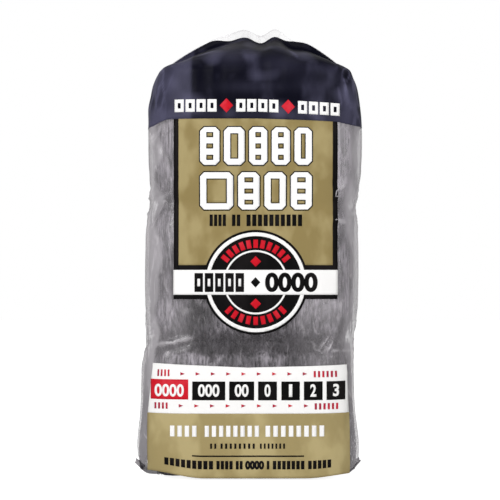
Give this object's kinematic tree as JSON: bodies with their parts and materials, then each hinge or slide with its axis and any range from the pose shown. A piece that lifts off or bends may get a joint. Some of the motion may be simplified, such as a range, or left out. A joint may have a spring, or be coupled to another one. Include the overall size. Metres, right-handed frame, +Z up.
{
  "type": "steel wool pad pack",
  "caption": "Upright sealed pack of rolled steel wool hand pads in a clear printed film bag, with a flat sealed fin on top and the bottom seal folded under.",
  "frame": {"origin": "under the middle of the pack, on the surface that it stands on", "axes": "+Z up along the pack's height, the printed front faces -Y, +X to the right as seen from the front"},
  "size_m": [0.1188, 0.0846, 0.2305],
  "materials": {
    "film": "thin clear glossy film, slightly milky where it is doubled",
    "steel_wool": "dull grey mat of very fine steel fibres",
    "navy_ink": "dark navy print on glossy film",
    "gold_ink": "old gold print on glossy film",
    "white_ink": "white print on glossy film",
    "black_ink": "black print on glossy film",
    "red_ink": "red print on glossy film"
  },
  "bodies": {
    "root": {"film_bag": "film", "pad_bottom_front": "steel_wool", "pad_bottom_second": "steel_wool", "pad_bottom_third": "steel_wool", "pad_bottom_back": "steel_wool", "pad_middle_front": "steel_wool", "pad_middle_second": "steel_wool", "pad_middle_third": "steel_wool", "pad_middle_back": "steel_wool", "pad_top_front": "steel_wool", "pad_top_second": "steel_wool", "pad_top_third": "steel_wool", "pad_top_back": "steel_wool", "print_header": "navy_ink", "print_panel": "gold_ink", "print_banner": "white_ink", "print_scale": "white_ink", "print_base_band": "gold_ink", "print_border_1": "black_ink", "print_border_2": "black_ink", "print_border_3": "black_ink", "print_border_4": "black_ink", "print_badge_1": "black_ink", "print_badge_2": "black_ink", "print_badge_3": "black_ink", "print_badge_4": "black_ink", "print_badge_ring_1": "white_ink", "print_badge_ring_2": "white_ink"}
  },
  "joints": []
}
